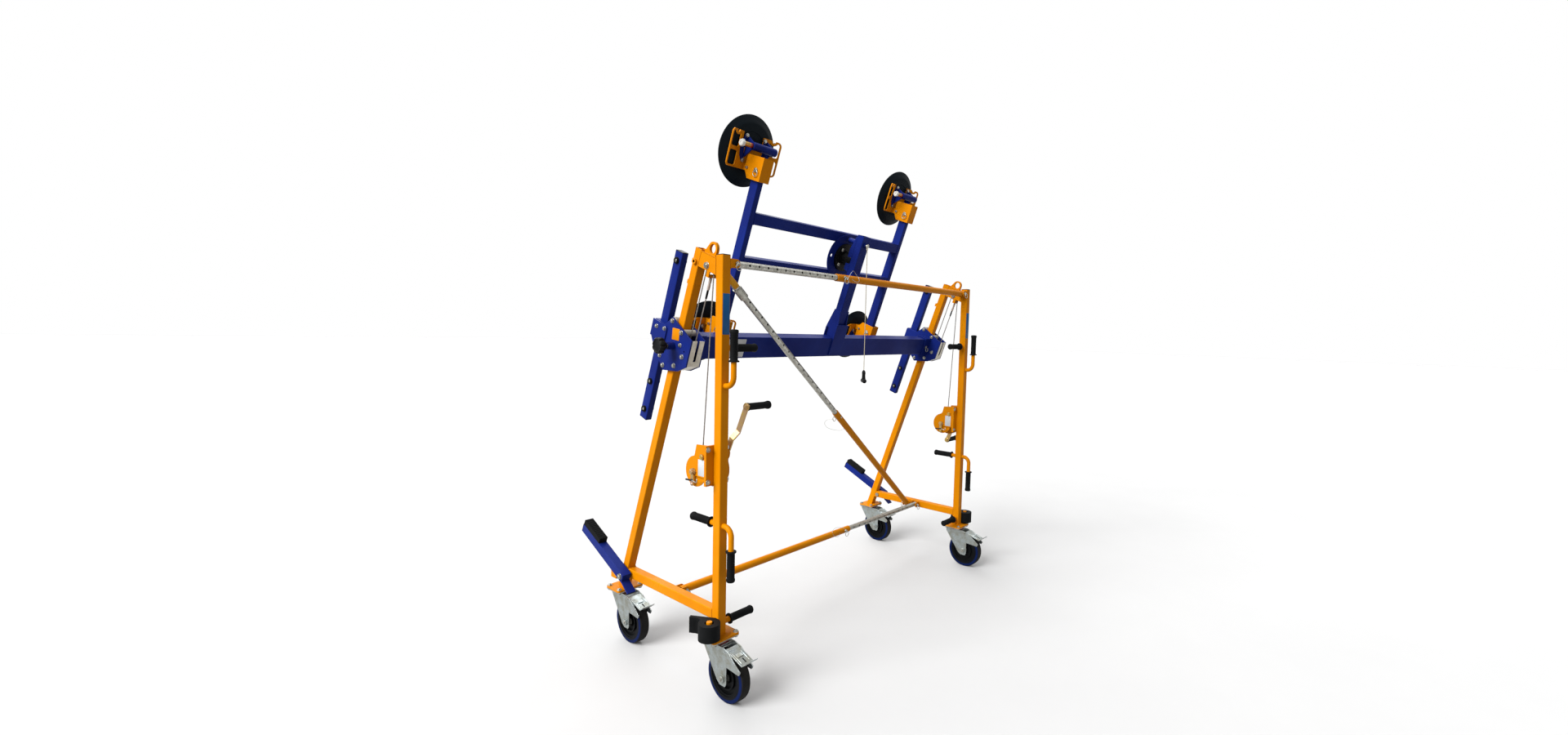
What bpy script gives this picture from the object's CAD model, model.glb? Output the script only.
import bpy
import bmesh
from collections import namedtuple
from math import atan2, cos, pi, radians, sin, tan, tau
from mathutils import Matrix, Vector


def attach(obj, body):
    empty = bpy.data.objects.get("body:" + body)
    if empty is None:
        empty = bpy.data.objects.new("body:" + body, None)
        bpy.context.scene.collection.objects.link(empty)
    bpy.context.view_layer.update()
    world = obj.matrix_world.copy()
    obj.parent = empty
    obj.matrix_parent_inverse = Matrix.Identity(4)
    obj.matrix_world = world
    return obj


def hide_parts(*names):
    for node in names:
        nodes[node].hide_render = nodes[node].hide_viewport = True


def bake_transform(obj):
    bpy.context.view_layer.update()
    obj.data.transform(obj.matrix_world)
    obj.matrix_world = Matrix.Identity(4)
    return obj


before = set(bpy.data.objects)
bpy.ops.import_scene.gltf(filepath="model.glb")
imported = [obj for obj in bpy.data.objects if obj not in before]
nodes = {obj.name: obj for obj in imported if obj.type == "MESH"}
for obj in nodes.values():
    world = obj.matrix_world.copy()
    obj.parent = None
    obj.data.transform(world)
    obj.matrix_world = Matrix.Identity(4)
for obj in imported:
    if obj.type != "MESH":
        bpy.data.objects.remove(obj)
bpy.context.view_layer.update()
scene = bpy.context.scene

# The trolley's own measures as in its construction: end frames' places in metres, the rest of the list in mm
MM = 0.001
MERGE = 2e-6  # metres within which a form's points are one
MID_X = 0.0565  # centre plane between the end frames
POST_Y = 0.370985  # axis of the posts
LEG_FOOT_Y = POST_Y - 0.757  # axis of the legs at the floor
LEAN = radians(20)  # of the legs
TRACK = 955  # centre plane to each end frame
HALF_TUBE = 20  # of the end frames
TUBE_CORNER = 4  # outer corners of the square tubes
CROSS_Z = 321  # cross tubes and foot arms' pivots above the floor
ARM_BACK = -600  # foot arms' pivots behind the posts
PLATE_TOP, PLATE_UNDER = 245, 233  # casters' mounting plates above the floor
TRAIL, AXLE_Z = 65, 100  # casters' axles behind their swivels and above the floor
FORK_FACE = 34  # forks' outer faces from the wheels' middle
STUBS_Z = (1358, 285)  # inward handle stubs above the floor
FRONT_STUB_Z = 676  # forward handle stub above the floor
DRUM = (-110, 873)  # drums' axis behind the posts and above the floor
DRUM_R, PITCH, TURNS = 30, 5.7, 11  # rope laid on a drum
CRANK = (-60, 937)  # crank shafts behind the posts and above the floor
PULLEY, PULLEY_R = (-72, 1803), 20  # head pulleys before and along the legs, radius of their rope
SHEAVE, SHEAVE_R = (-70, 1425), 18  # carriages' sheaves likewise
KNOB_S = 1446  # clamp knobs along the legs
CARRIAGE_FACE = 35  # carriages' outer faces from the legs' middle
BEAM_FACE = 30  # beam's front and back from its axis
BAR_D, BAR_SIZE = 121, (30, 50)  # support bars before the legs, their section
BAR_ENDS = (1063, 1801)  # support bars along the legs
HUB_S = 1895  # turning hub along the legs
DISC_D = 100  # turning disc's front before the legs
CUP_X = {"left": 659, "right": -463}
PUMP_D, PUMP_S = 168, 28  # pumps' axis before the legs, and along them from the cup's middle
X, Y, Z = Vector((1, 0, 0)), Vector((0, 1, 0)), Vector((0, 0, 1))
ORIGIN = Matrix.Identity(4)
SIDES = {"left": 1, "right": -1}
FRAMES_X = [side * TRACK for side in SIDES.values()]
CUPS = {f"{level}_{side}": (x, place, way) for level, place, way in (("upper", 2246, 1), ("lower", 1422, -1))
        for side, x in CUP_X.items()}
SWIVELS = {"front": -667.83, "rear": 0}


def leaning(angle):
    """Directions ahead and up of a thing that leans back by an angle."""
    return Vector((0, -cos(angle), sin(angle))), Vector((0, sin(angle), cos(angle)))


FORE, ALONG = leaning(LEAN)


def leg(x, d, s):
    """Place in front of a leg's axis by d and along it by s; x from the centre plane."""
    return Vector((MID_X + x * MM, LEG_FOOT_Y, 0)) + FORE * d * MM + ALONG * s * MM


def post(x, y, z):
    """Place behind the posts by y and above the floor by z; x from the centre plane."""
    return Vector((MID_X + x * MM, POST_Y + y * MM, z * MM))


def rim(centre, one, two, angle, radius):
    """Place round a centre, turned by an angle from direction one towards two."""
    return centre + (one * cos(angle) + two * sin(angle)) * radius * MM


def flat(origin, x_dir, y_dir):
    """Matrix that puts a flat drawing at origin, its X and Y along the two directions."""
    x_dir, y_dir = x_dir.normalized(), y_dir.normalized()
    return Matrix.Translation(origin) @ Matrix((x_dir, y_dir, x_dir.cross(y_dir))).transposed().to_4x4()


def aim(origin, way):
    """Matrix that puts a turned piece at origin with its axis along way."""
    return Matrix.Translation(origin) @ way.to_track_quat("Z", "Y").to_matrix().to_4x4()


# Node trees
CLOUD_LOW, CLOUD_HIGH = 0.35, 0.65  # noise between a finish's two tones
RUB_FROM, RUB_FULL, RUB_MOST = 0.985, 0.8, 0.55  # cosines at an edge where wear starts and is full, and its share


def add(tree, kind, settings=None, **links):
    """One node; settings fill its properties and sockets, links give what its sockets read (i0 is the first)."""
    new = tree.nodes.new(kind)
    for key, value in (settings or {}).items():
        if isinstance(key, str) and key not in new.inputs:
            setattr(new, key, value)
        else:
            new.inputs[key].default_value = value
    for key, source in links.items():
        numbered = key[0] == "i" and key[1:].isdigit()
        tree.links.new(source, new.inputs[int(key[1:]) if numbered else key.replace("_", " ")])
    return new


def colour(code):
    """sRGB hex to the linear colour that a shader takes."""
    parts = [int(code[i:i + 2], 16) / 255 for i in (1, 3, 5)]
    return [c / 12.92 if c <= 0.04045 else ((c + 0.055) / 1.055) ** 2.4 for c in parts] + [1.0]


# One finish: two tones that cloud into each other over share mm, roughness with its spread, worn edge tone
coat = namedtuple("coat", "base other share rough spread metal worn", defaults=(0.07, 0.0, None))


def clouded(tree, place, finish, rub):
    """Colour and roughness of one finish, both in the same clouds, with its own tone where edges are rubbed."""
    clouds = add(tree, "ShaderNodeTexNoise", {"Scale": 1000 / finish.share, "Detail": 5.0, "Roughness": 0.6},
                 Vector=place).outputs["Fac"]
    tone = add(tree, "ShaderNodeMapRange", {1: CLOUD_LOW, 2: CLOUD_HIGH}, Value=clouds)
    shade = add(tree, "ShaderNodeMix", {"data_type": "RGBA", 6: colour(finish.base), 7: colour(finish.other)},
                i0=tone.outputs["Result"])
    if finish.worn:
        shade = add(tree, "ShaderNodeMix", {"data_type": "RGBA", 7: colour(finish.worn)}, i0=rub, i6=shade.outputs[2])
    low, high = finish.rough - finish.spread, finish.rough + finish.spread
    gloss = add(tree, "ShaderNodeMapRange", {1: CLOUD_LOW, 2: CLOUD_HIGH, 3: low, 4: high}, Value=clouds)
    return shade.outputs[2], gloss.outputs["Result"]


def joined(tree, operation, values):
    """The least or the most of some values."""
    total = values[0]
    for value in values[1:]:
        total = add(tree, "ShaderNodeMath", {"operation": operation}, i0=total, i1=value).outputs[0]
    return total


def zone_mask(tree, place, groups):
    """1 inside any group. A group is tests (origin, axis, low, high): along the axis, or round it with a True."""
    def vector(operation, source, other=X):
        return add(tree, "ShaderNodeVectorMath", {"operation": operation, 1: other}, i0=source).outputs

    def inside(origin, axis, low, high, around=False):
        away = vector("SUBTRACT", place, origin)[0]
        reach = vector("CROSS_PRODUCT" if around else "DOT_PRODUCT", away, axis)
        if around:
            reach = vector("LENGTH", reach[0])
        return add(tree, "ShaderNodeMath", {"operation": "COMPARE", 1: (low + high) / 2 * MM,
                                            2: (high - low) / 2 * MM}, i0=reach["Value"]).outputs[0]

    return joined(tree, "MAXIMUM", [joined(tree, "MINIMUM", [inside(*test) for test in tests]) for tests in groups])


def surface(name, finish, grain_mm=4.0, height_mm=0.05, edge_mm=1.2, specular=0.5, sheen=0.0, zones=()):
    """Material of one finish, with other finishes in zones, fine grain and softened, slightly worn edges."""
    material = bpy.data.materials.new(name)
    material.use_nodes = True
    tree = material.node_tree
    shader = tree.nodes["Principled BSDF"]
    place = add(tree, "ShaderNodeTexCoord").outputs["Object"]
    soft = add(tree, "ShaderNodeBevel", {"samples": 4, "Radius": edge_mm * MM}).outputs["Normal"]
    face = add(tree, "ShaderNodeNewGeometry").outputs["Normal"]
    bend = add(tree, "ShaderNodeVectorMath", {"operation": "DOT_PRODUCT"}, i0=face, i1=soft).outputs["Value"]
    rub = add(tree, "ShaderNodeMapRange", {1: RUB_FROM, 2: RUB_FULL, 3: 0.0, 4: RUB_MOST},
              Value=bend).outputs["Result"]
    shade, gloss = clouded(tree, place, finish, rub)
    metal = None
    for groups, other in zones:
        inside = zone_mask(tree, place, groups)
        tone, sheer = clouded(tree, place, other, rub)
        shade = add(tree, "ShaderNodeMix", {"data_type": "RGBA"}, i0=inside, i6=shade, i7=tone).outputs[2]
        gloss = add(tree, "ShaderNodeMix", i0=inside, i2=gloss, i3=sheer).outputs[0]
        if any(zone.metal != finish.metal for _, zone in zones):
            mixed = add(tree, "ShaderNodeMix", {2: finish.metal, 3: other.metal}, i0=inside)
            if metal is not None:
                tree.links.new(metal, mixed.inputs[2])
            metal = mixed.outputs[0]
    grain = add(tree, "ShaderNodeTexNoise", {"Scale": 1000 / grain_mm, "Detail": 3.0}, Vector=place).outputs["Fac"]
    bump = add(tree, "ShaderNodeBump", {"Strength": 1.0, "Distance": height_mm * MM}, Height=grain, Normal=soft)
    tree.links.new(shade, shader.inputs["Base Color"])
    tree.links.new(gloss, shader.inputs["Roughness"])
    tree.links.new(bump.outputs["Normal"], shader.inputs["Normal"])
    if metal is None:
        shader.inputs["Metallic"].default_value = finish.metal
    else:
        tree.links.new(metal, shader.inputs["Metallic"])
    shader.inputs["Specular IOR Level"].default_value = specular
    shader.inputs["Sheen Weight"].default_value = sheen
    return material


# Powder coat on steel: even, faintly pebbled, satin, a little paler where edges are rubbed
orange = coat("#CC7E02", "#C57601", 160, 0.34, worn="#E0A23C")
blue = coat("#14256F", "#111E61", 160, 0.36, worn="#323F96")
# Bright zinc plate: pale grey with the clouded crystals of plating
zinc = coat("#A9A8A0", "#88877F", 16, 0.34, 0.1, 1.0, worn="#D2D2CC")
# Galvanised pressed steel: whiter and more even than plated bolts
galvanised = coat("#9CA5A6", "#86877E", 30, 0.34, 0.09, 0.85, worn="#DDE1E2")
# Yellow chromate over zinc: straw with a pink and green cast
chromate = coat("#B79A4C", "#A98A78", 34, 0.34, 0.08, 0.9, worn="#D0BC84")
# Greased steel strands: dull grey with brownish dirt in between
strand = coat("#8E8983", "#6D6660", 9, 0.45, 0.1, 0.8)
# Moulded black rubber and plastic: matt, dusted a little paler
moulded = coat("#0A0B0C", "#131415", 60, 0.62, 0.08)
# Cup rubber: smoother and bluer, wiped clean by use
dished = coat("#0B1217", "#0D151A", 90, 0.5, 0.04)
# Tyre rubber and its blue band: greyed by the floor's dust
tread = coat("#1E1D1D", "#292827", 35, 0.66, 0.08)
band = coat("#06143A", "#081844", 35, 0.5, 0.06)
# Nylon, black and natural grey: satin, a little waxy
satin_black = coat("#08090A", "#0E0F10", 45, 0.42, 0.06)
grey_nylon = coat("#A9A59A", "#98958B", 25, 0.48, 0.06)
# Rolled aluminium sheet: bright with a fine grain
sheet_metal = coat("#B9B3A6", "#A8A296", 22, 0.36, 0.08, 0.9)
# Moulded red and white plastic: clean, slightly glossy
red = coat("#9A1613", "#86110F", 30, 0.42, 0.05)
white = coat("#D8D8D3", "#C9C9C4", 25, 0.42, 0.05)
# Drawn brass: warm, with darker tarnish
drawn_brass = coat("#A98548", "#8D6C38", 18, 0.3, 0.06, 0.9)
# Braided polyester: matt cream, darker between the strands
cream = coat("#CFC6AE", "#B9AF96", 7, 0.85, 0.05)
# Vinyl over wire: milky, the strands' grey showing through in streaks
milky = coat("#B5A69B", "#94867D", 9, 0.35, 0.06)
# Vinyl film: even and slightly glossy
film_grey = coat("#BFC2C4", "#B3B6B8", 40, 0.38, 0.05)
film_blue = coat("#08558C", "#074E82", 40, 0.38, 0.05)
film_yellow = coat("#D99A0A", "#CE9008", 40, 0.38, 0.05)


def powder(name, finish, *zones):
    """Powder-coated steel, with other finishes in zones."""
    return surface(name, finish, 5, 0.04, specular=0.05, zones=zones)


orange_coat = powder("powder_coat_orange", orange)
blue_coat = powder("powder_coat_blue", blue)
zinc_plate = surface("zinc_plated_steel", zinc, 3, 0.04, 0.7)
pressed_zinc = surface("galvanised_pressed_steel", galvanised, 3, 0.04, 1.5)
yellow_zinc = surface("yellow_chromate_steel", chromate, 3, 0.03, 1.0)
wire_rope = surface("greased_wire_rope", strand, 1.5, 0.1, 0.15)
black_rubber = surface("moulded_black_rubber", moulded, 2, 0.12, 1.5, 0.06)
cup_rubber = surface("suction_cup_rubber", dished, 6, 0.005, 0.5, 0.06)
black_nylon = surface("black_glass_filled_nylon", satin_black, 2, 0.05, 1.0, 0.12)
roller_nylon = surface("grey_cast_nylon", grey_nylon, 3, 0.05, 0.8)
red_plastic = surface("red_moulded_plastic", red, 2, 0.04, 0.5)
white_plastic = surface("white_moulded_plastic", white, 2, 0.04, 0.6)
brass = surface("drawn_brass_tube", drawn_brass, 2, 0.03, 0.4)
clear_sleeve = surface("milky_vinyl_sleeve", milky, 4, 0.1, 0.4, 0.4)
grey_film = surface("grey_vinyl_film", film_grey, 6, 0.02, 0.3, 0.3)
blue_film = surface("blue_vinyl_film", film_blue, 6, 0.02, 0.3, 0.2)
yellow_film = surface("yellow_vinyl_film", film_yellow, 6, 0.02, 0.3, 0.2)
braid = surface("braided_polyester_cord", cream, 1.2, 0.3, 0.15, 0.2, 0.3)
seal_plate = surface("zinc_plate_with_red_seal", zinc, 3, 0.04, 0.7,
                     zones=[([[(post(0, 0, 0), Z, 222.1, 232.9)]], red)])
pins = [[(leg(x, 0, 0), X * way, 28.2, 60)] for x in CUP_X.values() for way in (1, -1)]
bracket_coat = powder("orange_bracket_with_zinc_pins", orange, (pins, zinc))
cover = [[(leg(x, 0, 0), X, -28.95, 28.95), (leg(0, 0, 0), FORE, -140, -5)] for x in FRAMES_X]
carriage_coat = powder("blue_carriage_with_aluminium_cover", blue, (cover, sheet_metal))
shaft_end = [[(leg(x, 0, 0), X, 42.2, 70)] for x in FRAMES_X]
drum_coat = powder("orange_drum_with_chromate_nut", orange, (shaft_end, chromate))
ARM_OUT, ARM_UP = leaning(radians(24.5))
ARM_PIVOT = post(0, ARM_BACK, CROSS_Z)
pad = [[(ARM_PIVOT, ARM_UP, 20.05, 60)], [(ARM_PIVOT, ARM_OUT, 355.05, 400)]]
arm_coat = powder("blue_arm_with_rubber_pad", blue, (pad, moulded))

paint = {
    orange_coat: ["left_end_frame", "right_end_frame", "brace_outer_tubes", "winch_frames"],
    drum_coat: ["winch_drums"],
    bracket_coat: ["cup_brackets"],
    blue_coat: ["cross_beam", "mast", "suction_frame", "left_support_bar", "right_support_bar"],
    carriage_coat: ["left_carriage", "right_carriage"],
    arm_coat: ["left_foot_arm", "right_foot_arm"],
    zinc_plate: ["brace_inner_tubes", "frame_bolts", "lift_bolts", "index_pin", "head_pulleys", "carriage_sheaves"],
    seal_plate: ["caster_top_plates"],
    pressed_zinc: [f"{side}_{place}_{what}" for side in SIDES for place in SWIVELS for what in ("fork", "pedal")],
    yellow_zinc: ["winch_cranks"],
    wire_rope: ["hoist_ropes", "drum_ropes"],
    black_nylon: ["turn_hub", "pull_handle", "left_clamp_knob", "right_clamp_knob"],
    roller_nylon: [f"{place}_{level}_rollers" for place in ("front", "rear") for level in ("upper", "lower")],
    black_rubber: ["handle_grips", "bumpers"],
    cup_rubber: [f"{cup}_cup_pad" for cup in CUPS],
    brass: [f"{cup}_plunger" for cup in CUPS],
    braid: ["pull_cord"],
}
for place, swivel in SWIVELS.items():
    axle = post(0, swivel + TRAIL, AXLE_Z)
    rings = [([[(axle, X, inner, outer, True)]], finish)
             for inner, outer, finish in ((0, 84, satin_black), (84, 97, band), (0, 22.05, zinc))]
    tyre = surface(f"elastic_tyre_on_nylon_{place}", tread, 2, 0.1, 1.0, 0.05, zones=rings)
    paint[tyre] = [f"{side}_{place}_wheel" for side in SIDES]
for cup, (x, place, way) in CUPS.items():
    centre = leg(x, 0, place)
    pump = [[(centre, ALONG * way, -46, 200), (centre, FORE, 0, 210.9), (centre, X, -83.5, 61.5)],
            [(leg(x, PUMP_D, place + way * PUMP_S), X, 0, 17.5, True), (centre, X, -99, 61.5)]]
    paint[powder(f"orange_plate_with_blue_pump_{cup}", orange, (pump, blue))] = [f"{cup}_cup_body"]
for material, names in paint.items():
    for name in names:
        nodes[name].data.materials.clear()
        nodes[name].data.materials.append(material)


# Pieces
def link(name, data, *materials):
    """Object of a mesh, camera or light, with its materials, in the scene."""
    made = bpy.data.objects.new(name, data)
    scene.collection.objects.link(made)
    for material in materials:
        data.materials.append(material)
    return made


def closed(form, name, sharp):
    """Mesh of a drawn form: joints merged, faces outwards, smooth except at edges that turn by over sharp degrees."""
    bmesh.ops.remove_doubles(form, verts=form.verts, dist=MERGE)
    bmesh.ops.recalc_face_normals(form, faces=form.faces)
    mesh = bpy.data.meshes.new(name)
    form.to_mesh(mesh)
    form.free()
    mesh.shade_smooth()
    mesh.set_sharp_from_angle(angle=radians(sharp))
    return mesh


def piece(name, shape, body, slot, *materials, stands_for=(), sharp=32):
    """Object at the origin that moves with a body, takes its finish from a slot and may stand for CAD nodes.
    Its shape is a mesh or a drawn form."""
    made = link(name, shape if isinstance(shape, bpy.types.Mesh) else closed(shape, name, sharp), *materials)
    if body:
        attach(made, body)
    if stands_for:
        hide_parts(*stands_for)
    return made


def skinned(form, rings, index=0):
    """Faces between rings of points, each ring closed on itself; a ring of one point is a tip."""
    for one, two in zip(rings, rings[1:]):
        for i in range(max(len(one), len(two))):
            places = ((one, i), (one, i + 1), (two, i + 1), (two, i))
            corners = list(dict.fromkeys(ring[k % len(ring)] for ring, k in places))
            if len(corners) > 2:
                form.faces.new(corners).material_index = index


def turned(form, place, profile, steps=48, flutes=0, flute_from=0.0, depth=0.0):
    """Lathe: (radius, height) pairs turned about the place's axis; a third number is the material of that stretch.
    Flutes are scallops round the rim where the radius is over flute_from."""
    rings = []
    for radius, height, *_ in profile:
        ring = []
        for i in range(steps if radius else 1):
            angle = tau * i / steps
            size = radius
            if flutes and radius > flute_from:
                size -= depth * (radius - flute_from) * max(0.0, cos(flutes * angle)) ** 2
            spot = Vector((size * cos(angle), size * sin(angle), height))
            ring.append(form.verts.new(place @ (spot * MM)))
        rings.append(ring)
    for one, two, stretch in zip(rings, rings[1:], profile[1:]):
        skinned(form, [one, two], *stretch[2:])


def made_of(index, *pairs):
    """Stretch of a profile in another of the piece's materials."""
    return [(*pair, index) for pair in pairs]


def stacked(form, place, outline, layers, index=0):
    """Flat outline repeated at each (inset, height) and closed at both ends."""
    points = [Vector(p) for p in outline]
    ahead = points[1:] + points[:1]
    turn = 1 if sum(p.cross(q) for p, q in zip(points, ahead)) > 0 else -1
    inward = []
    for last, point, after in zip(points[-1:] + points[:-1], points, ahead):
        one, two = (Vector((-e.y, e.x)).normalized() * turn for e in (point - last, after - point))
        inward.append((one + two) / max(0.3, 1 + one.dot(two)))
    rings = [[form.verts.new(place @ (Vector((p[0] + n.x * inset, p[1] + n.y * inset, height)) * MM))
              for p, n in zip(outline, inward)] for inset, height in layers]
    skinned(form, rings, index)
    for ring in (rings[0], rings[-1]):
        form.faces.new(ring).material_index = index


def rounded(wide, high, corner, steps=5, centre=(0, 0)):
    """Outline of a rectangle with round corners."""
    points = []
    for quarter, (sx, sy) in enumerate(((1, 1), (-1, 1), (-1, -1), (1, -1))):
        for i in range(steps + 1):
            angle = pi / 2 * (quarter + i / steps)
            points.append((centre[0] + sx * (wide / 2 - corner) + corner * cos(angle),
                           centre[1] + sy * (high / 2 - corner) + corner * sin(angle)))
    return points


def swept(form, points, radius, lobes=0, depth=0.0, pitch=0.04, steps=10, index=0):
    """Round or stranded tube along points, its section carried without spin, its strands laid in turns of pitch."""
    rings, gone, side = [], 0.0, None
    for i, point in enumerate(points):
        ahead = (points[min(i + 1, len(points) - 1)] - points[max(i - 1, 0)]).normalized()
        if side is None:
            side = ahead.orthogonal().normalized()
        side = (side - ahead * side.dot(ahead)).normalized()
        across = ahead.cross(side)
        gone += (point - points[i - 1]).length if i else 0.0
        ring = []
        for k in range(steps):
            angle = tau * k / steps
            size = radius * (1 - depth * (0.5 - 0.5 * cos(lobes * angle)))
            angle += tau * gone / pitch if lobes else 0.0
            ring.append(form.verts.new(point + (side * cos(angle) + across * sin(angle)) * size))
        rings.append(ring)
    rings = [[form.verts.new(points[0])]] + rings + [[form.verts.new(points[-1])]]
    skinned(form, rings, index)


def route(controls, resolution, apart):
    """Points read from the NURBS line of a route's own points, at least apart metres from each other."""
    curve = bpy.data.curves.new("route", "CURVE")
    curve.dimensions = "3D"
    spline = curve.splines.new("NURBS")
    spline.points.add(len(controls) - 1)
    for point, place in zip(spline.points, controls):
        point.co = (*place, 1)
    spline.order_u = 3
    spline.use_endpoint_u = True
    spline.resolution_u = resolution
    guide = bpy.data.objects.new("route", curve)
    line = bpy.data.meshes.new_from_object(guide)
    places = [vertex.co.copy() for vertex in line.vertices]
    bpy.data.objects.remove(guide)
    kept = [places[0]]
    for place in places[1:-1]:
        if (place - kept[-1]).length >= apart and (place - places[-1]).length >= apart:
            kept.append(place)
    return kept + [places[-1]]


def growth(name, along_edges):
    """Tree that sets a shape on points that know their way, or at a spacing along edges."""
    tree = bpy.data.node_groups.new(name, "GeometryNodeTree")
    for key, kind in (("Geometry", "Geometry"), ("Shape", "Object"), ("Size", "Float"), ("Spacing", "Float"),
                      ("Variation", "Float"), ("Material", "Material")):
        tree.interface.new_socket(key, in_out="INPUT", socket_type=f"NodeSocket{kind}")
    tree.interface.new_socket("Geometry", in_out="OUTPUT", socket_type="NodeSocketGeometry")
    given = add(tree, "NodeGroupInput").outputs

    def known(key):
        return add(tree, "GeometryNodeInputNamedAttribute", {"data_type": "FLOAT_VECTOR", "Name": key}).outputs[0]

    if along_edges:
        line = add(tree, "GeometryNodeMeshToCurve", Mesh=given["Geometry"]).outputs[0]
        spots = add(tree, "GeometryNodeResampleCurve", {"mode": "LENGTH"}, Curve=line,
                    Length=given["Spacing"]).outputs[0]
        way = add(tree, "GeometryNodeInputTangent").outputs[0]
    else:
        spots = given["Geometry"]
        way = known("way")
    turn = add(tree, "FunctionNodeAlignRotationToVector", {"axis": "Z"}, Vector=way).outputs[0]
    turn = add(tree, "FunctionNodeAlignRotationToVector", {"axis": "X", "pivot_axis": "Z"}, Rotation=turn,
               Vector=known("across")).outputs[0]
    least = add(tree, "ShaderNodeMath", {"operation": "SUBTRACT"}, i0=given["Size"], i1=given["Variation"]).outputs[0]
    size = add(tree, "FunctionNodeRandomValue", {"Seed": 7}, i2=least, i3=given["Size"]).outputs[1]
    shape = add(tree, "GeometryNodeObjectInfo", Object=given["Shape"]).outputs["Geometry"]
    spread = add(tree, "GeometryNodeInstanceOnPoints", Points=spots, Instance=shape, Rotation=turn, Scale=size)
    solid = add(tree, "GeometryNodeRealizeInstances", Geometry=spread.outputs[0]).outputs[0]
    done = add(tree, "GeometryNodeSetMaterial", Geometry=solid, Material=given["Material"]).outputs[0]
    add(tree, "NodeGroupOutput", Geometry=done)
    return tree


spot_tree = growth("set_on_points", False)
row_tree = growth("rows_along_edges", True)


def repeated(tree, form, guide, material, spacing=0.01, variation=0.0, sharp=32):
    """A drawn form repeated by a tree over a guide mesh, as a plain mesh."""
    shape, holder = link("shape", closed(form, "shape", sharp)), link("guide", guide)
    settings = {"Shape": shape, "Size": 1.0, "Spacing": spacing, "Variation": variation, "Material": material}
    modifier = holder.modifiers.new("growth", "NODES")
    modifier.node_group = tree
    for item in tree.interface.items_tree:
        if item.in_out == "INPUT" and item.name in settings:
            modifier[item.identifier] = settings[item.name]
    bpy.context.view_layer.update()
    mesh = bpy.data.meshes.new_from_object(holder.evaluated_get(bpy.context.evaluated_depsgraph_get()))
    for used in (holder, shape):
        bpy.data.objects.remove(used)
    if not mesh.materials:
        mesh.materials.append(material)
    return mesh


def guided(points, ways=None, across=None):
    """Guide mesh: points with the way that each faces, or without ways the ends of edges, two by two."""
    mesh = bpy.data.meshes.new("guide")
    edges = [] if ways else [(i, i + 1) for i in range(0, len(points), 2)]
    mesh.from_pydata([tuple(p) for p in points], edges, [])
    for name, values in (("way", ways), ("across", across)):
        if values:
            data = mesh.attributes.new(name, "FLOAT_VECTOR", "POINT").data
            for item, value in zip(data, values):
                item.vector = value
    return mesh


def bolts(name, washer, head, places, ways, body, slot="zinc", material=zinc_plate, steps=24, sides=6):
    """Washers with heads on them, one at each place, facing its way."""
    form = bmesh.new()
    turned(form, ORIGIN, washer, steps)
    turned(form, ORIGIN, head, sides)
    piece(name, repeated(spot_tree, form, guided(places, ways), material), body, slot)


# Pull cord with its T-handle, below the index pin's end
PIN_END = (0, -34, 1988)
HANDLE_Z, HANDLE_TURN = 1238, radians(47)
stem = [(0, -3), (3.2, -2.5), (6.5, 1), (8.6, 5), (9.2, 12), (8.4, 24), (9.4, 36), (10, 42), (8, 52), (0, 53)]
half_bar = [(10.7, 0), (10.1, 12), (10.8, 27), (9.2, 31), (5.6, 33.4), (0, 34)]
knot = [(0, -9), (2.6, -8), (4.2, -5), (3.6, -2), (4.4, 1), (3.2, 3.5), (0, 4.2)]
cord_top = leg(*PIN_END) - Z * 0.012
cord_end = Vector((cord_top.x, cord_top.y, HANDLE_Z * MM))
cord_line = route([cord_top, cord_top - Z * 0.024, cord_top - Z * 0.3, cord_end + Z * 0.024, cord_end], 96, 0.0015)
form = bmesh.new()
swept(form, cord_line, radius=0.002, lobes=8, depth=0.3, pitch=0.016, steps=16)
pull_cord = piece("pull_cord_braid", form, "pull", "cord", braid, stands_for=["pull_cord"], sharp=80)
form = bmesh.new()
turned(form, aim(cord_end, -Z), stem, 32)
bar_way = Vector((cos(HANDLE_TURN), sin(HANDLE_TURN), 0))
turned(form, aim(cord_end - Z * 0.051, bar_way), [(r, -h) for r, h in half_bar[:0:-1]] + half_bar, 32)
pull_handle = piece("t_handle", form, "pull", "black_plastic", black_nylon, stands_for=["pull_handle"], sharp=50)
form = bmesh.new()
turned(form, aim(cord_top, Z), knot, 16)
cord_knot = piece("pull_cord_knot", form, "pull", "cord", braid, sharp=80)

# Hoist ropes: laid on the drum, over the head pulley, under the carriage's sheave and up to the dead end
ROPE = {"radius": 0.0025, "lobes": 6, "depth": 0.3, "pitch": 0.036, "steps": 12}
PER_TURN, CREST, UNDER = 12, 7, 6  # points of a route in a turn of the drum, over the pulley, under the sheave
DOWN_D, DEAD_D = SHEAVE[0] + SHEAVE_R, SHEAVE[0] - SHEAVE_R  # runs down to the sheave and up from it
FIRST_TURN = -34.5  # from the end frame's middle
RISE_END, FALL_START, DEAD_END = 1645, 1650, 1762  # ends of the two runs along the legs
lay = Vector((PITCH / tau, 0, DRUM_R)).normalized()
tail = lay * 0.005


def on_drum(x, turn, radius):
    """Place on the rope's winding after so many turns."""
    return rim(post(x + FIRST_TURN + PITCH * turn, *DRUM), Y, Z, tau * turn, radius)


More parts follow.
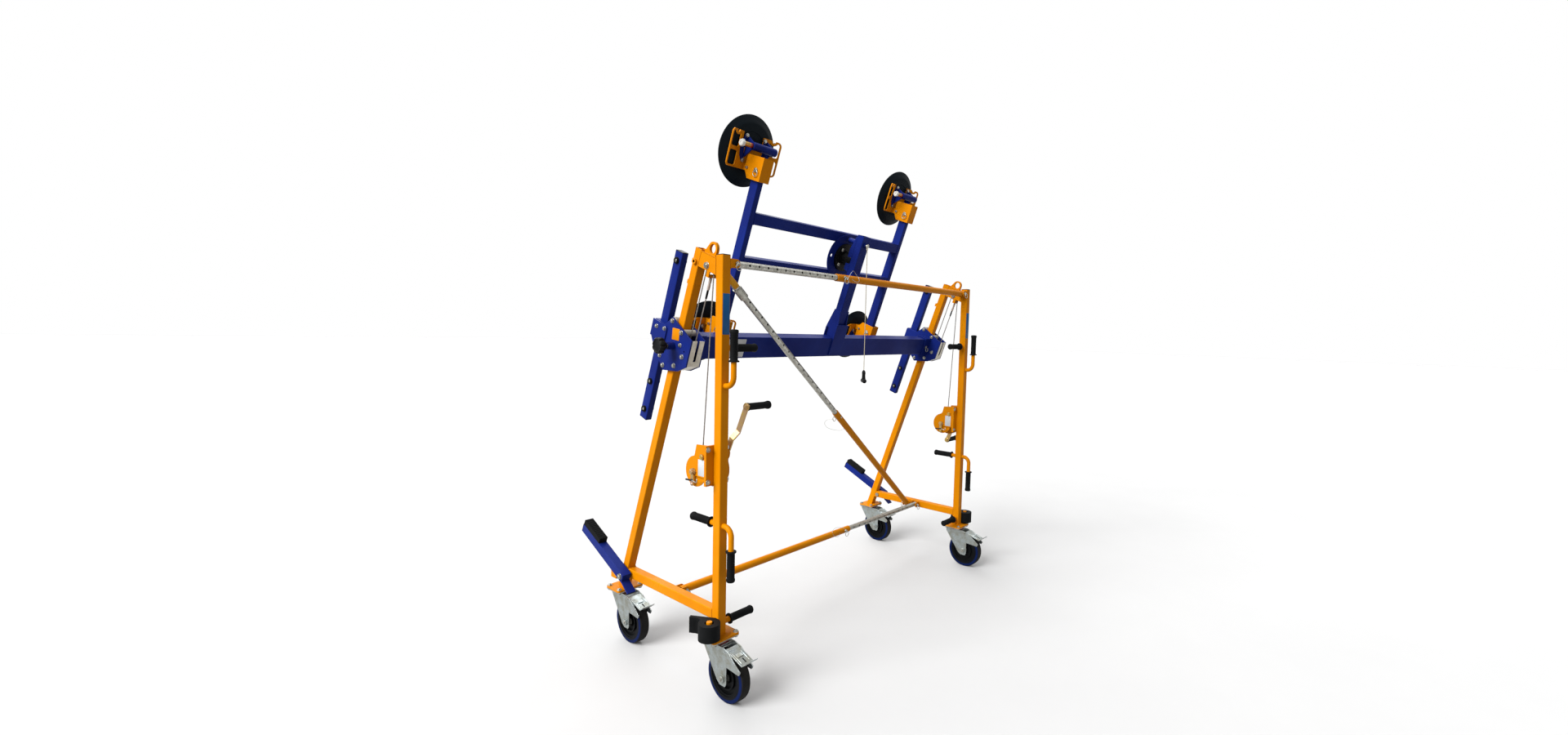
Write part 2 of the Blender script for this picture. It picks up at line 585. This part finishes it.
windings, rises, falls = bmesh.new(), bmesh.new(), bmesh.new()
for x in FRAMES_X:
    leaving = on_drum(x, TURNS, DRUM_R) + tail
    corner = DRUM_R / cos(pi / PER_TURN)
    turns = [on_drum(x, (k + 0.5) / PER_TURN, corner) for k in range(TURNS * PER_TURN)]
    swept(windings, route([on_drum(x, 0, DRUM_R) - tail] + turns + [leaving], 10, 0.002), **ROPE)
    pulley = leg(x, *PULLEY)
    run = atan2(pulley.y + PULLEY_R * MM - leaving.y, pulley.z - leaving.z)
    step = (pi - LEAN + run) / CREST
    edge = PULLEY_R * tan(step / 2) * MM
    touch = rim(pulley, Y, Z, -run, PULLEY_R)
    crest = [rim(pulley, Y, Z, -run + (k + 0.5) * step, PULLEY_R / cos(step / 2)) for k in range(CREST)]
    rise = [leaving, leaving + (touch - leaving) * 0.03, touch - (touch - leaving).normalized() * edge, *crest,
            leg(x, DOWN_D, PULLEY[1]) - ALONG * edge, leg(x, DOWN_D, RISE_END)]
    swept(rises, route(rise, 400, 0.0025), **ROPE)
    sheave = leg(x, *SHEAVE)
    step = pi / UNDER
    edge = SHEAVE_R * tan(step / 2) * MM
    under = [rim(sheave, FORE, ALONG, -(k + 0.5) * step, SHEAVE_R / cos(step / 2)) for k in range(UNDER)]
    fall = [leg(x, DOWN_D, FALL_START), rim(sheave, FORE, ALONG, 0, SHEAVE_R) + ALONG * edge, *under,
            rim(sheave, FORE, ALONG, pi, SHEAVE_R) + ALONG * edge, leg(x, DEAD_D, DEAD_END)]
    swept(falls, route(fall, 300, 0.0025), **ROPE)
piece("drum_windings", windings, "drums", "rope", wire_rope, stands_for=["drum_ropes"], sharp=80)
piece("rope_rises", rises, "frame", "rope", wire_rope, stands_for=["hoist_ropes"], sharp=80)
rope_falls = piece("rope_falls", falls, None, "rope", wire_rope, stands_for=["hoist_ropes"], sharp=80)
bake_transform(rope_falls)

# Dead ends: clear sleeve over the loop, black sleeve below it
black_end = [(0, 0), (3.2, 0), (4, 2), (4.4, 20), (4, 36), (0, 37)]
clear_end = made_of(1, (0, 0), (4.4, 0), (5.6, 3), (5.8, 20), (4.6, 25), (5.8, 30), (5.8, 48), (0, 50))
form = bmesh.new()
for x in FRAMES_X:
    turned(form, aim(leg(x, DEAD_D, 1676), ALONG), black_end, 20)
    turned(form, aim(leg(x, DEAD_D, 1711), ALONG), clear_end, 20)
piece("rope_dead_ends", form, "frame", "black_rubber", black_rubber, clear_sleeve)

# Handle grips: flange, ribbed sleeve and swollen end
grip = [(11.1, 0), (19.6, 0), (21, 1.2), (21, 4.6), (19.8, 6), (15.8, 6.8), (14.8, 9), (14.4, 60), (14.8, 104),
        (16.4, 108), (17.2, 112.5), (16.8, 117), (14.6, 120.4), (9, 121.6), (0, 122)]
grip_rib = [(13.9, -1.2), (15.6, -0.6), (15.6, 0.6), (13.9, 1.2)]
grips = []
for side in SIDES.values():
    x = side * TRACK
    grips += [(post(x - side * 50, 0, z), X * -side) for z in STUBS_Z]
    grips += [(post(x, -50, FRONT_STUB_Z), -Y), (post(x, 67, 1308), Z), (post(x, 66, 589), -Z)]
form = bmesh.new()
for place, way in grips:
    turned(form, aim(place, way), grip)
piece("grip_sleeves", form, "frame", "black_rubber", black_rubber, stands_for=["handle_grips"])
form = bmesh.new()
turned(form, ORIGIN, grip_rib, 20)
guide = guided([place + way * height * MM for place, way in grips for height in (14, 102)])
piece("grip_ribs", repeated(row_tree, form, guide, black_rubber, 0.0045), "frame", "black_rubber")

# Clamp knobs: scalloped dished disc on a neck, zinc stem into the boss
knob = [*made_of(1, (0, 55), (7, 55), (7, 71)), (12.6, 70.5), (14, 72), (14, 83), (17, 86), (28, 87.4), (32, 90),
        (33, 94), (33, 106), (31.8, 110), (28.6, 113), (25.4, 112.4), (22.6, 108.6), (14, 106.6), (0, 106)]
for name, side in SIDES.items():
    form = bmesh.new()
    turned(form, aim(leg(side * TRACK, 0, KNOB_S), X * side), knob, 64, flutes=8, flute_from=20, depth=0.42)
    piece(f"{name}_knob_form", form, f"{name}_knob", "black_plastic", black_nylon, zinc_plate,
          stands_for=[f"{name}_clamp_knob"], sharp=40)

# Suction cups: flared rubber dish with a ringed face and release tabs; pump plungers with their red band
grooves = [spot for r in range(108, 18, -6)
           for spot in ((r, 228), (r - 0.8, 227.1), (r - 2.6, 227.1), (r - 3.4, 228))]
dish = [(0, 216.1), (66, 216.1), (68, 217.6), (82, 217.6), (84, 216.1), (116, 216.1), (119.5, 217.2), (128, 222.4),
        (139, 228.6), (147, 232.6), (149.6, 234.4), (150, 236), (149.5, 237.5), (148, 238), (145.6, 237.4),
        (142, 235), (130, 231.6), (118, 229), (113, 228), *grooves, (4.5, 228), (4, 224), (0, 224)]
plunger = [(0, -21), (9.9, -21), (9.9, 39), *made_of(1, (9.98, 39.2), (9.98, 49)), (9.9, 49.2), (9.9, 80), (8, 81.5),
           (8, 83)]
button = made_of(2, (8, 82), (13.6, 82), (15.4, 84), (15.4, 95.5), (13.4, 98), (5, 98), (4.2, 96.8), (0, 96.6))
for cup, (x, place, way) in CUPS.items():
    centre = leg(x, 0, place)
    form = bmesh.new()
    turned(form, aim(centre, FORE), dish, 96)
    for turn in (156, 184):
        out = X * cos(radians(turn)) + ALONG * way * sin(radians(turn))
        stacked(form, flat(centre + out * 0.146 + FORE * 0.236, out, FORE.cross(out)), rounded(26, 13, 4, 3, (4, 0)),
                [(1.2, -4), (0, -3), (0, 0), (1.2, 1)])
    piece(f"{cup}_cup_dish", form, f"{cup}_cup", "black_rubber", cup_rubber, stands_for=[f"{cup}_cup_pad"])
    form = bmesh.new()
    pump_axis = aim(leg(x, PUMP_D, place + way * PUMP_S), X)
    turned(form, pump_axis, plunger, 40)
    turned(form, pump_axis, button, 6)
    piece(f"{cup}_plunger_form", form, f"{cup}_plunger", "zinc", brass, red_plastic, white_plastic,
          stands_for=[f"{cup}_plunger"])

# Crank grips with a swollen end, collar at the crank
CRANK_TURN, CRANK_LONG = radians(24.5), 210
crank_grip = [(12, 0.6), (15.6, 0.8), (16, 2), (16, 5), (14.8, 6.5), (14.2, 9), (14.4, 60), (14.2, 97), (15.2, 102),
              (16.7, 107.5), (17, 112.5), (16, 117.6), (12.5, 120.4), (0, 121)]
form = bmesh.new()
crank_ends = []
for side in SIDES.values():
    turn = CRANK_TURN + (0 if side > 0 else pi)
    end = post(side * TRACK - 106, *CRANK) + leaning(turn)[1] * CRANK_LONG * MM
    crank_ends.append(end + X * 0.006)
    turned(form, aim(end, -X), crank_grip, 40)
piece("crank_grip_sleeves", form, "cranks", "black_rubber", black_rubber)

# Ratchet levers on the winches' open side: flat lever, dark pawl bar, hooked spring wire, rivet
LEVER_Y = -112
rivet = [(0, 0), (5.5, 0), (5.5, 2), (4, 3.4), (0, 4)]
drum_nut = [(0, 0), (13, 0), (13, 1.8), (10, 2), (10, 6.5), (8.5, 8), (0, 8.4)]
pawl = made_of(1, (0, 0), (3, 0.5), (3.6, 3), (3.6, 40), (0, 42))
spring = [(55, -108, 839), (56, -98, 842), (56, -86, 836), (56, -76, 838), (56, -73, 846), (54, -77, 850)]
form = bmesh.new()
for x in FRAMES_X:
    stacked(form, flat(post(x + 48, LEVER_Y, 848), Y, Z), rounded(17, 62, 8),
            [(0.8, 0), (0, 0.8), (0, 2.6), (0.8, 3.4)])
    turned(form, aim(post(x + 51, LEVER_Y, 824), X), rivet, 20)
    turned(form, aim(post(x + 51, LEVER_Y, DRUM[1]), X), drum_nut, 6)
    turned(form, aim(post(x + 54, -146, 838), Y + Z * 0.06), pawl, 16)
    swept(form, route([post(x + dx, y, z) for dx, y, z in spring], 12, 0.001), 0.0022, steps=10, index=2)
piece("ratchet_levers", form, "frame", "yellow_zinc", yellow_zinc, black_nylon, zinc_plate)

# Plugs in the posts' tops and the support bars' ends
bar_outline = rounded(*BAR_SIZE, TUBE_CORNER)
form = bmesh.new()
for x in FRAMES_X:
    stacked(form, flat(post(x, 0, 1706), X, Y), rounded(39.6, 39.6, TUBE_CORNER),
            [(3, -8), (3, 0), (0, 0), (0, 2), (1, 3)])
piece("post_plugs", form, "frame", "black_plastic", black_nylon)
for name, side in SIDES.items():
    form = bmesh.new()
    for s, way in zip(BAR_ENDS[::-1], (1, -1)):
        stacked(form, flat(leg(side * TRACK, BAR_D, s), X, FORE * -way), bar_outline,
                [(3, -6), (0.2, 0), (0.2, 2), (1.6, 3.4)])
    piece(f"{name}_bar_plugs", form, f"{name}_bar", "black_plastic", black_nylon)

# Support bars: square tube with round rubber buffers, each held by a sunk bolt
BUFFERS_S = (1765, 1235, 1105)
buffer = [*made_of(1, (0, -1), (13.5, -1), (13.5, 6.4), (12, 9), (8.2, 9), (7.6, 5.4)),
          *made_of(2, (6.6, 5.6), (5.6, 7.6), (0, 8))]
for name, side in SIDES.items():
    form = bmesh.new()
    stacked(form, flat(leg(side * TRACK, BAR_D, BAR_ENDS[0]), X, -FORE), bar_outline,
            [(0, 0), (0, BAR_ENDS[1] - BAR_ENDS[0])])
    for s in BUFFERS_S:
        for way in (1, -1):
            turned(form, aim(leg(side * TRACK + way * BAR_SIZE[0] / 2, BAR_D, s), X * way), buffer, 28)
    piece(f"{name}_bar_form", form, f"{name}_bar", "blue_paint", blue_coat, black_rubber, zinc_plate,
          stands_for=[f"{name}_support_bar"])

# Welded bush on each leg's outer face, just below the top
bush = [(0, -1), (13, -1), (12.8, 0.5), (11.4, 1.8), (11.4, 8.4), (10.6, 9.2), (6, 9.2), (5.4, 8.6),
        *made_of(1, (5.2, 1.2), (0, 1))]
form = bmesh.new()
for side in SIDES.values():
    turned(form, aim(leg(side * (TRACK + HALF_TUBE), 0, 1797), X * side), bush, 32)
piece("leg_bushes", form, "frame", "orange_paint", orange_coat, black_nylon)

# Ridges across the foot pads
for name, side in SIDES.items():
    form = bmesh.new()
    stacked(form, flat(Vector(), Z, X), rounded(4.6, 38.6, 1.8, 2), [(0, -1), (0, 1.2), (1, 2)])
    middle = ARM_PIVOT + X * side * (TRACK + 47) * MM + ARM_UP * 0.045
    guide = guided([middle + ARM_OUT * 0.213, middle + ARM_OUT * 0.351], across=[X, X])
    piece(f"{name}_pad_ridges", repeated(row_tree, form, guide, black_rubber, 0.0092), f"{name}_foot_arm",
          "black_rubber")

# Washers and bolt ends over the plain bolt heads: place, way, washer's and bolt's radius, head's height
AXLES = ((37, 1538), (37, 1345), (-33.5, 1513), (-33.5, 1372), SHEAVE)
on_frame, on_lift = [], []
for side in SIDES.values():
    x = side * TRACK
    on_lift += [(leg(x + way * CARRIAGE_FACE, d, s), X * way, 9.8, 5, 6) for d, s in AXLES for way in (1, -1)]
    on_lift += [(leg(x + side * face, d, s), X * side, 8.8, 4, 6) for face, d, s in
                ((40, 125, 1483), (40, 71, 1492), (CARRIAGE_FACE, -43, 1464), (CARRIAGE_FACE, 70, 1375))]
    on_frame += [(leg(x + way * HALF_TUBE, *PULLEY), X * way, 13.4, 6, 7) for way in (1, -1)]
    on_frame += [(post(x + side * 67, ARM_BACK, CROSS_Z), X * side, 13.4, 6, 6)]
    on_frame += [(post(x + dx, -HALF_TUBE, z), Y, 10.6, 4, 6) for dx in (-45, 45) for z in (845, 970)]
    for swivel in SWIVELS.values():
        on_frame += [(post(x + dx, swivel + dy, z), Z * way, 10.6, 4, deep) for dx in (-52.5, 52.5)
                     for dy in (-40, 40) for z, way, deep in ((PLATE_TOP, 1, 6), (PLATE_UNDER, -1, 7))]
for body, places in (("frame", on_frame), ("lift", on_lift)):
    for size in sorted({place[2:] for place in places}):
        wide, shank, deep = size
        chosen = [place for place in places if place[2:] == size]
        bolts(f"{body}_washers_{wide:.0f}_{deep}",
              [(shank, -0.2), (wide, -0.2), (wide, 1.2), (wide - 0.6, 1.7), (shank, 1.7)],
              [(shank, deep - 0.5), (shank, deep + 1.4), (shank - 1, deep + 2.4), (0, deep + 2.4)],
              [place[0] for place in chosen], [place[1] for place in chosen], body, sides=12)

# Bolts of the hub and the pumps, nuts on the cranks' spindles
hub_face = leg(0, 79.7, HUB_S)
bolts("hub_bolts", [(0, -1), (9.6, -1), (9.6, 1), (9, 1.6), (0, 1.6)], [(7.4, 1), (7.4, 5), (6.4, 6), (0, 6.2)],
      [rim(hub_face, X, ALONG, radians(45 + 90 * k), 52) for k in range(4)], [-FORE] * 4, "lift")
for cup, (x, place, way) in CUPS.items():
    bolts(f"{cup}_pump_bolts", [(0, -1), (9, -1), (9, 1), (8.4, 1.5), (0, 1.5)],
          [(7.2, 1), (7.2, 4), (6.2, 5), (0, 5.2)],
          [leg(x + shift + hand * a, 206, place + way * b) for hand, shift in ((1, 0), (-1, -22))
           for a, b in ((36, -38), (40, 62))], [-FORE] * 4, f"{cup}_cup", steps=20)
bolts("crank_spindle_nuts", [(0, -0.5), (15, -0.5), (15, 1.4), (14, 2), (0, 2)],
      [(10.5, 1.5), (10.5, 6.5), (9.2, 8), (6, 8), (5.4, 11), (0, 11.4)], crank_ends, [X] * 2, "cranks",
      "yellow_zinc", yellow_zinc)

# Turning disc's front: bolts over their plain heads, two dark stop bars on the spindle's block
stop_bolt = [(0, -1), (6.5, -1), (6.5, 2.4), (5.4, 3.6), (0, 3.8)]
bolts("disc_bolts", [(0, -0.4), (13.4, -0.4), (13.4, 1.6), (12.6, 2.2), (0, 2.2)],
      [(10.5, 1.6), (10.5, 7.4), (9.2, 8.6), (6.2, 8.6), (5.6, 13), (4.6, 14), (0, 14)],
      [leg(a, DISC_D, HUB_S + b) for a in (-35, 35) for b in (-37, 37)], [FORE] * 4, "head")
form = bmesh.new()
for x in (-14, 14):
    stacked(form, flat(leg(x, DISC_D, HUB_S), X, ALONG), rounded(23, 56, 7),
            [(0, -0.2), (0, 19), (1, 21.4), (3, 22.6)])
    turned(form, aim(leg(x, DISC_D + 22, HUB_S), FORE), stop_bolt, 20)
piece("stop_bars", form, "head", "black_plastic", black_nylon)

# Cheeks that stiffen the mast's top towards the turning hub
cheek = [(19, 1838), (46, 1846), (44, 1952), (26, 2012), (19, 2024)]
form = bmesh.new()
for x in (30, -25):
    stacked(form, flat(leg(x, 0, 0), FORE, ALONG), cheek, [(0.8, 0), (0, 0.8), (0, 4.2), (0.8, 5)])
piece("mast_cheeks", form, "lift", "blue_paint", blue_coat)

# Brake pedals: pressed tongue, slot and ribs; hollow rivets at the pedals' pivots, nuts on the wheels' axles
PEDAL = (78, 217)  # pedals' root behind the swivels and above the floor
slope = Vector((0, 89, -30)).normalized()
hollow_rivet = [*made_of(1, (0, 0.2), (3.4, 0.2)), (3.6, 1.2), (5, 1.2), (5.6, 0.6), (5.6, -0.2)]
axle_washer = made_of(2, (0, -0.4), (12, -0.4), (12, 1.2), (11.2, 2), (0, 2))
axle_nut = made_of(2, (9.6, 1.4), (9.6, 7.6), (8.4, 8.8), (5.2, 8.8), (4.8, 12), (4, 13), (0, 13))
for name, side in SIDES.items():
    for place, swivel in SWIVELS.items():
        x = side * TRACK
        top = post(x, swivel + PEDAL[0], PEDAL[1])
        caster = f"{name}_{place}"
        form = bmesh.new()
        stacked(form, flat(top + slope * 0.045, X, slope + X.cross(slope) * 0.2), rounded(26, 25, 3, 3),
                [(0, -3), (0, 0.6), (0.8, 1.4)])
        stacked(form, flat(top + slope * 0.076, X, slope), rounded(6, 24, 2.5, 3),
                [(0, -0.4), (0, 0.2), (0.1, 0.3)], 1)
        for shift in (-20, 20):
            stacked(form, flat(top + slope * 0.058 + X * shift * MM, X, slope), rounded(4.5, 56, 2, 3),
                    [(0, -0.5), (0, 0.8), (0.9, 1.6)])
        piece(f"{caster}_pedal_pressing", form, f"{caster}_pedal", "zinc", pressed_zinc, black_nylon)
        form = bmesh.new()
        for way in (1, -1):
            turned(form, aim(post(x + way * FORK_FACE, swivel + PEDAL[0], 211), X * way), hollow_rivet, 20)
            axle = aim(post(x + way * FORK_FACE, swivel + TRAIL, AXLE_Z), X * way)
            turned(form, axle, axle_washer, 28)
            turned(form, axle, axle_nut, 6)
        piece(f"{caster}_fork_rivets", form, f"{caster}_fork", "zinc", pressed_zinc, black_nylon, zinc_plate)

# Keeper wires that tie the braces' lock pins to their tubes: along the brace, sideways and up from the pin
brace_end = post(895, -113, 1690)
brace_way = (brace_end - post(-900, -337, CROSS_Z)).normalized()
keeper_out = Vector((0.335, -0.895, -0.292))
keepers = [
    (post(246, -1.5, 1678), -X, Y, Z, [(0, 30, -8), (8, 36, 8), (34, 32, 34), (74, 8, 42), (104, 2, 24),
                                       (108, 22, 0), (84, 31, -14), (58, 25, -10), (52, 17, 0)]),
    (post(-173, -288, CROSS_Z), X, Y, Z, [(0, 30, -8), (10, 38, 6), (40, 34, 32), (78, 10, 38), (106, 4, 20),
                                          (108, 22, -2), (84, 30, -12), (58, 24, -8), (52, 17, 0)]),
    (brace_end - brace_way * 1.1761, -brace_way, keeper_out, brace_way.cross(keeper_out),
     [(0, 26, 10), (-6, 44, 6), (-2, 74, 2), (26, 98, 0), (70, 102, 0), (104, 78, 0), (122, 46, 2), (120, 26, 0),
      (112, 17, 0)]),
]
form = bmesh.new()
for pin, run, out, over, places in keepers:
    line = [pin + (run * a + out * b + over * c) * MM for a, b, c in places]
    swept(form, route(line, 16, 0.002), 0.0009, steps=8)
piece("keeper_wires", form, "frame", "zinc", zinc_plate)

# Plain patches of thin film
FILM, THIN_FILM = [(0, -0.2), (0, 0.4), (0.2, 0.5)], [(0, -0.2), (0, 0.3), (0.2, 0.4)]
PATCH_TILT = radians(12.5)  # on the carriages
CURL, CURL_LONG = radians(70), 72  # round the diagonal brace


def patch(name, places, outline, body, slot, material, layers=FILM):
    """Thin patches of one outline at each place."""
    form = bmesh.new()
    for place in places:
        stacked(form, place, outline, layers)
    piece(name, form, body, slot, material)


patch("winch_patches", [flat(post(x + 42, -66, 893), Y, Z) for x in FRAMES_X], rounded(38, 64, 2, 3), "frame",
      "grey_plastic", grey_film)
patch("post_patches", [flat(post(x, HALF_TUBE, 1486), -X, Z) for x in FRAMES_X], rounded(34, 154, 2, 3), "frame",
      "blue_paint", blue_film, THIN_FILM)
facing = (Y - brace_way * brace_way.dot(Y)).normalized()
curl = [(r * cos(a), r * sin(a)) for r, way in ((15.8, 1), (15.4, -1))
        for a in (CURL * way * (k / 6 - 1) for k in range(13))]
patch("brace_patch", [flat(brace_end - brace_way * 0.142, facing, brace_way.cross(facing))], curl, "frame",
      "orange_paint", yellow_film, [(0, 0), (0, CURL_LONG)])
rear, upper = -FORE * cos(PATCH_TILT) + ALONG * sin(PATCH_TILT), ALONG * cos(PATCH_TILT) + FORE * sin(PATCH_TILT)
patch("carriage_patches", [flat(leg(side * (TRACK + CARRIAGE_FACE), -1, 1495), *(rear, upper)[::side])
                           for side in SIDES.values()], rounded(47, 47, 2, 3), "lift", "orange_paint", orange_coat)
patch("beam_patch", [flat(leg(-430, BEAM_FACE, 1463), X, ALONG)], rounded(130, 24, 3, 3), "lift", "orange_paint",
      yellow_film)
patch("beam_plate", [flat(leg(687, -BEAM_FACE, 1445), -X, ALONG)], rounded(110, 84, 3, 3), "lift", "grey_plastic",
      grey_film)


# Weld beads where tubes meet
def looped(corners):
    """Edges round a closed line of corners."""
    return list(zip(corners, corners[1:] + corners[:1]))


def ringed(centre, one, two, radius, count=16):
    """Edges round a circle."""
    return looped([rim(centre, one, two, tau * k / count, radius) for k in range(count)])


def level(x, d, z):
    """Place on a leg's face d at a height."""
    return leg(x, d, (z - d * sin(LEAN)) / cos(LEAN))


HANDLE_R = 11
bead = [(0, -1.9), (1.7, -1.1), (2.2, 0), (1.7, 1.1), (0, 1.9)]
square = ((-1, -1), (1, -1), (1, 1), (-1, 1))
frame_seams, head_seams = [], []
for side in SIDES.values():
    x = side * TRACK
    tube = [(x + HALF_TUBE * a, HALF_TUBE * b) for a, b in square]
    frame_seams += looped([post(a, -HALF_TUBE, CROSS_Z + b) for a, b in tube])
    frame_seams += looped([level(a, -HALF_TUBE, CROSS_Z + b) for a, b in tube])
    frame_seams += looped([post(a, b, PLATE_TOP) for a, b in tube])
    frame_seams += looped([level(a, b, PLATE_TOP) for a, b in tube])
    for face in (-HALF_TUBE, HALF_TUBE):
        near = [leg(x + face, d, s) for d, s in ((-20, 1785), (-20, 1845), (-112.8, 1845), (-134.6, 1785))]
        frame_seams += list(zip(near, near[1:]))
    for z in STUBS_Z:
        frame_seams += ringed(post(x - side * HALF_TUBE, 0, z), Y, Z, HANDLE_R)
    for y, z in ((-HALF_TUBE, FRONT_STUB_Z), (HALF_TUBE, 1215), (HALF_TUBE, 675)):
        frame_seams += ringed(post(x, y, z), X, Z, HANDLE_R)
for s in (1990, 1795):
    for x in (CUP_X["left"] - 15, CUP_X["right"] + 15):
        head_seams += looped([leg(x, 125 + 25 * a, s + 25 * b) for a, b in square])
for body, edges, slot, material in (("frame", frame_seams, "orange_paint", orange_coat),
                                    ("head", head_seams, "blue_paint", blue_coat)):
    form = bmesh.new()
    turned(form, ORIGIN, bead, 8)
    guide = guided([end for edge in edges for end in edge])
    piece(f"{body}_weld_beads", repeated(row_tree, form, guide, material, 0.0024, 0.2, 80), body, slot)

# Camera of the left-hand view, floor and soft light
PICTURE, SENSOR = 1920, 36  # picture's width in pixels, sensor's in millimetres
azimuth, elevation, roll = (radians(a) for a in (130.3, 3.8, 1.4))
back = Vector((sin(azimuth) * cos(elevation), -cos(azimuth) * cos(elevation), sin(elevation)))
right = Vector((cos(azimuth), sin(azimuth), 0))
up = back.cross(right)
camera = link("camera", bpy.data.cameras.new("camera"))
camera.matrix_world = flat(post(2462, 1802, 1429), right * cos(roll) + up * sin(roll),
                           up * cos(roll) - right * sin(roll))
camera.data.sensor_width = SENSOR
camera.data.lens = SENSOR * 748.5 / PICTURE
camera.data.shift_x = -53 / PICTURE
camera.data.shift_y = 6 / PICTURE
scene.camera = camera
scene.view_settings.view_transform = "Standard"

FAR = 60  # floor's edges from the middle, in metres
ground = bpy.data.meshes.new("floor")
ground.from_pydata([(a * FAR, b * FAR, 0) for a, b in square], [], [(0, 1, 2, 3)])
pale = coat("#C2C2C2", "#C0C0C0", 900, 0.7, 0.03)
floor = link("floor", ground, surface("pale_studio_floor", pale, 40, 0.01, 0.1, 0.2))
floor.visible_diffuse = False
scene.world = bpy.data.worlds.new("studio")
scene.world.use_nodes = True
sky = scene.world.node_tree
background = sky.nodes["Background"].inputs
background["Color"].default_value = colour("#FFFFFF")
ray = add(sky, "ShaderNodeLightPath").outputs
fill = add(sky, "ShaderNodeMapRange", {3: 1.0, 4: 0.45}, Value=ray["Is Diffuse Ray"]).outputs["Result"]
height = add(sky, "ShaderNodeSeparateXYZ", Vector=add(sky, "ShaderNodeTexCoord").outputs["Generated"]).outputs["Z"]
ceiling = add(sky, "ShaderNodeMapRange", {1: 0.1, 2: 0.9, 3: 0.35, 4: 1.9}, Value=height).outputs["Result"]
strength = add(sky, "ShaderNodeMix", i0=ray["Is Glossy Ray"], i2=fill, i3=ceiling).outputs[0]
sky.links.new(strength, background["Strength"])
for name, way, power, soft in (("key", (0.8, -0.1, 0.6), 5.0, 0.7), ("top", (-0.1, -0.7, 0.75), 2.0, 1.2)):
    lamp = bpy.data.lights.new(name, "SUN")
    lamp.energy = power
    lamp.angle = soft
    link(name, lamp).matrix_world = aim(Vector(way) * 5, Vector(way))
